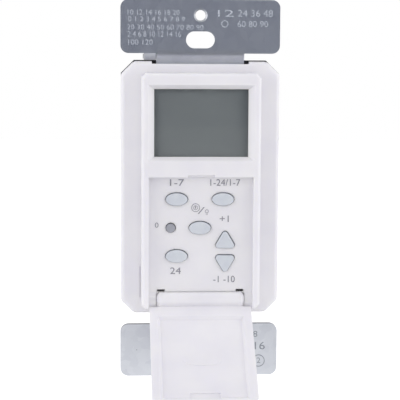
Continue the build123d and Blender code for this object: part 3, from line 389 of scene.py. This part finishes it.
# %% The liner's lines, in millimetres
notch_half, notch_top, notch_low = 12.3, -27.95, -32.3
liner_edge, liner_side = -28.02, 12.22
bevel_start, bevel_end, bevel_low = 11.37, 12.17, -28.56
pin_band = (-30.7, -29.5)
liner_middle, liner_thickness = -5.635, 0.17
bevel_normal = (liner_edge - bevel_low, bevel_end - bevel_start)


def above_bevel(x_mm, z_mm):
    """Whether a place lies above the line along the tongue's bevelled corner."""
    return bevel_normal[0] * (abs(x_mm) - bevel_start) + bevel_normal[1] * (z_mm - liner_edge) > 0


def liner_has(x_mm, z_mm):
    """Whether a place in the notch belongs to the liner."""
    beside_tongue = abs(x_mm) > liner_side and not pin_band[0] < z_mm < pin_band[1]
    return z_mm > liner_edge or above_bevel(x_mm, z_mm) or beside_tongue


# %% Bisect the plane along the lines
CUT_PRECISION = 1e-6  # the usual one is wider than the liner
bpy.ops.mesh.primitive_plane_add(size=1.0, rotation=(math.pi / 2, 0, 0))
liner = bpy.context.object
liner.name = "hinge_liner"
liner.scale = (2 * notch_half * MM, (notch_top - notch_low) * MM, 1)
liner.location = (0, liner_middle * MM, (notch_top + notch_low) / 2 * MM)
bpy.ops.object.transform_apply(location=True, rotation=True, scale=True)
cuts = [((0, liner_edge), (0, 1)), ((0, pin_band[0]), (0, 1)), ((0, pin_band[1]), (0, 1))]
for side in (-1, 1):
    cuts.append(((side * liner_side, 0), (1, 0)))
    cuts.append(((side * bevel_start, liner_edge), (side * bevel_normal[0], bevel_normal[1])))
bpy.ops.object.mode_set(mode="EDIT")
for (x_mm, z_mm), (across, up) in cuts:
    bpy.ops.mesh.select_all(action="SELECT")
    cut_at = (x_mm * MM, 0, z_mm * MM)
    bpy.ops.mesh.bisect(plane_co=cut_at, plane_no=(across, 0, up), threshold=CUT_PRECISION)
bpy.ops.mesh.select_all(action="DESELECT")
bpy.ops.object.mode_set(mode="OBJECT")
print("faces after the cuts:", len(liner.data.polygons))

# %% Clear the middle and thicken the rest
for face in liner.data.polygons:
    face.select = not liner_has(face.center.x / MM, face.center.z / MM)
bpy.ops.object.mode_set(mode="EDIT")
bpy.ops.mesh.select_mode(type="FACE")
bpy.ops.mesh.delete(type="FACE")
bpy.ops.object.mode_set(mode="OBJECT")
wall = liner.modifiers.new("wall", "SOLIDIFY")
wall.thickness = liner_thickness * MM
wall.offset = 0
bpy.ops.object.modifier_apply(modifier=wall.name)
liner.data.materials.append(white_abs)
liner.select_set(False)
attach(liner, "switch")
print("liner faces:", len(liner.data.polygons))

# %% [markdown]
# ## Printed and pressed marks
#
# Small grey legends are printed beside the keys, and small characters are pressed into the ears. Plain
# numbers and simple signs stand here, in the same places and sizes. Each is a text object made into a
# mesh a few hundredths of a millimetre thick, stretched to its width, turned upright and laid on the
# face that carries it.

# %% Text laid on an upright face
INK_MM, PRESSED_MM = 0.03, 0.02
CAPITAL_SHARE = 0.7  # the height of figures, as a share of the font's size
printing_ink, tree, shader = start_finish("printed_grey_ink", "#8e8e97", Roughness=0.6, IOR=1.5)
mottle(tree, shader, "#898993", "#96969f", 0.6)


def lay_text(words, x_mm, z_mm, height_mm, face_y, width_mm, turn=0.0, thickness_mm=INK_MM):
    """Words centred at a place on a face that looks at -Y, with figures of the given height and width."""
    bpy.ops.object.text_add()
    text = bpy.context.object
    text.data.body = words
    text.data.align_x = "CENTER"
    text.data.align_y = "CENTER"
    text.data.size = height_mm * MM / CAPITAL_SHARE
    text.data.extrude = thickness_mm * MM / 2
    text.data.resolution_u = 3
    bpy.ops.object.convert(target="MESH")
    across = [vertex.co.x for vertex in text.data.vertices]
    stretch = width_mm * MM / (max(across) - min(across))
    upright = Matrix.Rotation(math.pi / 2, 4, "X")
    place = Matrix.Translation((x_mm * MM, face_y, z_mm * MM))
    slant = Matrix.Rotation(turn, 4, "Z")
    text.data.transform(place @ upright @ slant @ Matrix.Diagonal((stretch, 1, 1, 1)))
    text.select_set(False)
    return text


# %% Marks joined into one piece
def join_marks(pieces, name, material):
    """Joins the pieces into one mesh, with one finish, that rides on the switch."""
    bpy.ops.object.select_all(action="DESELECT")
    for piece in pieces:
        piece.select_set(True)
    bpy.context.view_layer.objects.active = pieces[0]
    bpy.ops.object.join()
    joined = bpy.context.object
    joined.name = name
    joined.data.materials.clear()
    joined.data.materials.append(material)
    joined.select_set(False)
    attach(joined, "switch")
    return joined


# %% A thin ring
def ring(x_mm, z_mm, radius_mm, width_mm, face_y, vertices=40):
    """A thin flat ring on a face that looks at -Y: a disc with its middle inset and removed."""
    turn = (math.pi / 2, 0, 0)
    place = (x_mm * MM, face_y, z_mm * MM)
    bpy.ops.mesh.primitive_circle_add(
        vertices=vertices, radius=radius_mm * MM, fill_type="NGON", location=place, rotation=turn
    )
    piece = bpy.context.object
    bpy.ops.object.mode_set(mode="EDIT")
    bpy.ops.mesh.inset(thickness=width_mm * MM)
    bpy.ops.mesh.delete(type="FACE")
    bpy.ops.object.mode_set(mode="OBJECT")
    bpy.ops.object.transform_apply(location=True, rotation=True, scale=True)
    thicken = piece.modifiers.new("thickness", "SOLIDIFY")
    thicken.thickness = INK_MM * MM
    thicken.offset = 0
    bpy.ops.object.modifier_apply(modifier=thicken.name)
    piece.select_set(False)
    return piece


# %% [markdown]
# The legends are printed in grey ink on the recess floor, one beside each key: the days 1 to 7, hours
# and days together, steps forward and back, and a sign made of two rings and a figure. The ink stands a
# few hundredths of a millimetre ahead of the floor.

# %% Legends on the keypad
recess_y = -5.81 * MM
legend_height = 1.85
legends = [
    lay_text("1-7", -6.93, 2.4, legend_height, recess_y, 3.9),
    lay_text("1-24/1-7", 6.54, 2.4, legend_height, recess_y, 8.3),
    lay_text("+1", 6.77, -7.7, legend_height, recess_y, 2.5),
    lay_text("24", -6.92, -22.2, legend_height, recess_y, 3.0),
    lay_text("-1 -10", 6.62, -24.6, legend_height, recess_y, 6.0),
    lay_text("0", -12.16, -9.4, 1.4, recess_y, 1.0),
    ring(-1.41, -4.49, 1.18, 0.14, recess_y),
    ring(-1.41, -4.49, 0.62, 0.12, recess_y),
    lay_text("1", -1.41, -4.45, 0.7, recess_y, 0.25),
    lay_text("/", 0.1, -5.4, 2.3, recess_y, 1.0, -0.4),
    ring(1.7, -5.5, 0.5, 0.13, recess_y, 24),
    lay_text("=", 1.7, -6.35, 0.6, recess_y, 0.6),
]
keypad_legends = join_marks(legends, "keypad_legends", printing_ink)
print("legends:", len(legends), "faces:", len(keypad_legends.data.polygons))

# %% [markdown]
# The marks on the steel stand in rows on both sides of the screw holes. Each row gives its words, its
# middle, its height and its width, in millimetres, and all stand a hundredth or so ahead of the sheet.

# %% Marks on the upper ear
ear_y = -1.305 * MM
ear_rows = [
    ("10 12 14 16 18 20", -13.14, 49.08, 1.45, 14.3),
    ("0 1 2 3 4 5 6 7 8 9", -12.17, 47.24, 1.35, 15.7),
    ("20 30 40 50 60 70 80 90", -9.75, 45.03, 1.4, 21.1),
    ("2 4 6 8 10 12 14 16", -12.78, 43.1, 1.5, 14.75),
    ("100 120", -16.78, 40.88, 1.45, 6.75),
    ("12", 6.46, 48.88, 1.9, 4.45),
    ("24 36 48", 15.2, 48.94, 1.9, 9.75),
    ("60 80 90", 14.46, 46.01, 1.7, 8.5),
]
ear_marks = [
    lay_text(words, x_mm, z_mm, height_mm, ear_y, width_mm, 0.0, PRESSED_MM)
    for words, x_mm, z_mm, height_mm, width_mm in ear_rows
]
ear_marks.append(ring(6.7, 46.1, 1.0, 0.25, ear_y))
upper_marks = join_marks(ear_marks, "pressed_upper_marks", pressed_mark)
print("upper marks:", len(ear_marks), "faces:", len(upper_marks.data.polygons))

# %% Marks on the lower ear
lower_rows = [
    ("8", 16.0, -41.1, 1.7, 1.2),
    ("16", 17.0, -44.5, 2.2, 2.9),
    ("2", 17.0, -48.7, 1.6, 1.0),
    (".", -17.55, -44.75, 1.6, 0.3),
]
low_marks = [
    lay_text(words, x_mm, z_mm, height_mm, ear_y, width_mm, 0.0, PRESSED_MM)
    for words, x_mm, z_mm, height_mm, width_mm in lower_rows
]
low_marks.append(ring(17.0, -48.7, 1.75, 0.22, ear_y))
# The lower ear's marks take the copy whose darker colour is painted shade.
lower_marks = join_marks(low_marks, "pressed_lower_marks", pressed_mark_painted_shade)
print("lower marks:", len(low_marks), "faces:", len(lower_marks.data.polygons))

# %% [markdown]
# ## Studio
#
# The object was photographed against pure white, in soft and even light. The world gives most of it,
# from all round. The camera sees the world and the floor as plain white, through Light Path, and so do
# mirrors and glass. The floor has a little light of its own, which lifts it to white where no shadow
# falls and leaves the shadow to be seen.

# %% World
scene = bpy.context.scene
scene.view_settings.view_transform = "Standard"


def looked_at(tree):
    """1 for a ray from the camera, a mirror or glass, and 0 for one that gathers light."""
    path = add_node(tree, "ShaderNodeLightPath")
    first = {0: path.outputs["Is Camera Ray"], 1: path.outputs["Is Glossy Ray"]}
    seen = add_node(tree, "ShaderNodeMath", {"operation": "MAXIMUM"}, first)
    then = {0: seen.outputs[0], 1: path.outputs["Is Transmission Ray"]}
    return add_node(tree, "ShaderNodeMath", {"operation": "MAXIMUM"}, then).outputs[0]


world = bpy.data.worlds.new("white_studio")
scene.world = world
world.use_nodes = True
tree = world.node_tree
tree.nodes.clear()
ambient = add_node(tree, "ShaderNodeBackground", {"Color": linear("#f8f7f9"), "Strength": 0.88})
backdrop = add_node(tree, "ShaderNodeBackground", {"Color": (1, 1, 1, 1), "Strength": 1.0})
shaders = {0: looked_at(tree), 1: ambient.outputs[0], 2: backdrop.outputs[0]}
choice = add_node(tree, "ShaderNodeMixShader", None, shaders)
add_node(tree, "ShaderNodeOutputWorld", None, {"Surface": choice.outputs[0]})
print("world:", world.name)

# %% Floor
FLOOR_Z, FLOOR_LIFT = -0.085, 0.34
floor_white, tree, shader = start_finish("white_paper_floor", "#f7f7f7", Roughness=0.8)
lift = add_node(tree, "ShaderNodeMath", {"operation": "MULTIPLY", 1: FLOOR_LIFT}, {0: looked_at(tree)})
shader.inputs["Emission Color"].default_value = (1, 1, 1, 1)
tree.links.new(lift.outputs[0], shader.inputs["Emission Strength"])
bpy.ops.mesh.primitive_plane_add(size=3.0, location=(0, 0, FLOOR_Z))
floor = bpy.context.object
floor.name = "studio_floor"
floor.data.materials.append(floor_white)
print("stage:", floor.name)

# %% [markdown]
# Bright metal only shows what it mirrors, so a product photographer sets cards where the metal looks.
# The upright upper ear mirrors a blue-grey card behind the camera and looks dark, and the lower ear
# mirrors the pale floor close by. A dark card on the far floor and a small flag under the upper ear
# tone the bend and the neck, which turn down. Only mirrors see the cards: they take no light away from
# the plastic, and cast no shadow.

# %% Cards for the metal to mirror
blue_grey_card, tree, shader = start_finish("blue_grey_card", "#787e8d", Roughness=0.9)
dark_card, tree, shader = start_finish("dark_card", "#2b3a54", Roughness=0.9)
flag_card, tree, shader = start_finish("grey_flag", "#3f4550", Roughness=0.9)
upright = (math.pi / 2, 0, 0)
flat = (0, 0, 0)
cards = {
    "upright_card": (blue_grey_card, (2.0, 2.0), (0, -1.2, 0.95), upright),
    "far_floor_card": (dark_card, (2.0, 0.8), (0, -0.8, -0.084), flat),
    "neck_flag": (flag_card, (0.12, 0.155), (0, -0.0925, -0.02), flat),
}
for name, (material, (width, depth), place, turn) in cards.items():
    bpy.ops.mesh.primitive_plane_add(size=1.0, location=place, rotation=turn)
    card = bpy.context.object
    card.name = name
    card.scale = (width, depth, 1)
    card.data.materials.append(material)
    card.visible_camera = False
    card.visible_shadow = False
    card.visible_diffuse = False
print("cards:", sorted(cards))

# %% [markdown]
# A large soft lamp stands at each side, a metre off and a little higher than the switch. The world alone
# leaves the slopes round the display and along the raised face dull, and the lamps lift what looks
# sideways.

# %% Lamps
def soft_lamp(name, place, aim, size, power, colour):
    """A square area lamp at a place, turned to shine at a point."""
    bpy.ops.object.light_add(type="AREA", location=place)
    lamp = bpy.context.object
    lamp.name = name
    lamp.data.size = size
    lamp.data.energy = power
    lamp.data.color = linear(colour)[:3]
    lamp.rotation_euler = (Vector(aim) - Vector(place)).to_track_quat("-Z", "Y").to_euler()
    return lamp


for name, lamp_x in (("left_lamp", -1.0), ("right_lamp", 1.0)):
    soft_lamp(name, (lamp_x, -0.45, 0.3), (0, 0, 0), 0.8, 2.4, "#ffffff")

# %% [markdown]
# ## Camera
#
# The camera's place and lens were fitted to the corners of the flange, the face, the strap and the
# open door. It stands 0.4 m away, a little to the left and above, and looks slightly down.

# %% Camera
CAMERA_PLACE = (-0.02709, -0.40000, 0.04017)
YAW, PITCH, ROLL = 0.0681, -0.1072, 0.00565
FOCAL_PIXELS, FRAME_PIXELS = 1437.2, 400
camera_data = bpy.data.cameras.new("photo_camera")
camera = bpy.data.objects.new("photo_camera", camera_data)
scene.collection.objects.link(camera)
camera_data.sensor_width = 36
camera_data.lens = FOCAL_PIXELS / FRAME_PIXELS * camera_data.sensor_width
camera_data.clip_start = 0.01
aim = Matrix.Rotation(-YAW, 4, "Z") @ Matrix.Rotation(math.pi / 2 + PITCH, 4, "X")
camera.matrix_world = Matrix.Translation(CAMERA_PLACE) @ aim @ Matrix.Rotation(ROLL, 4, "Z")
scene.camera = camera
print("lens in mm:", round(camera_data.lens, 2))
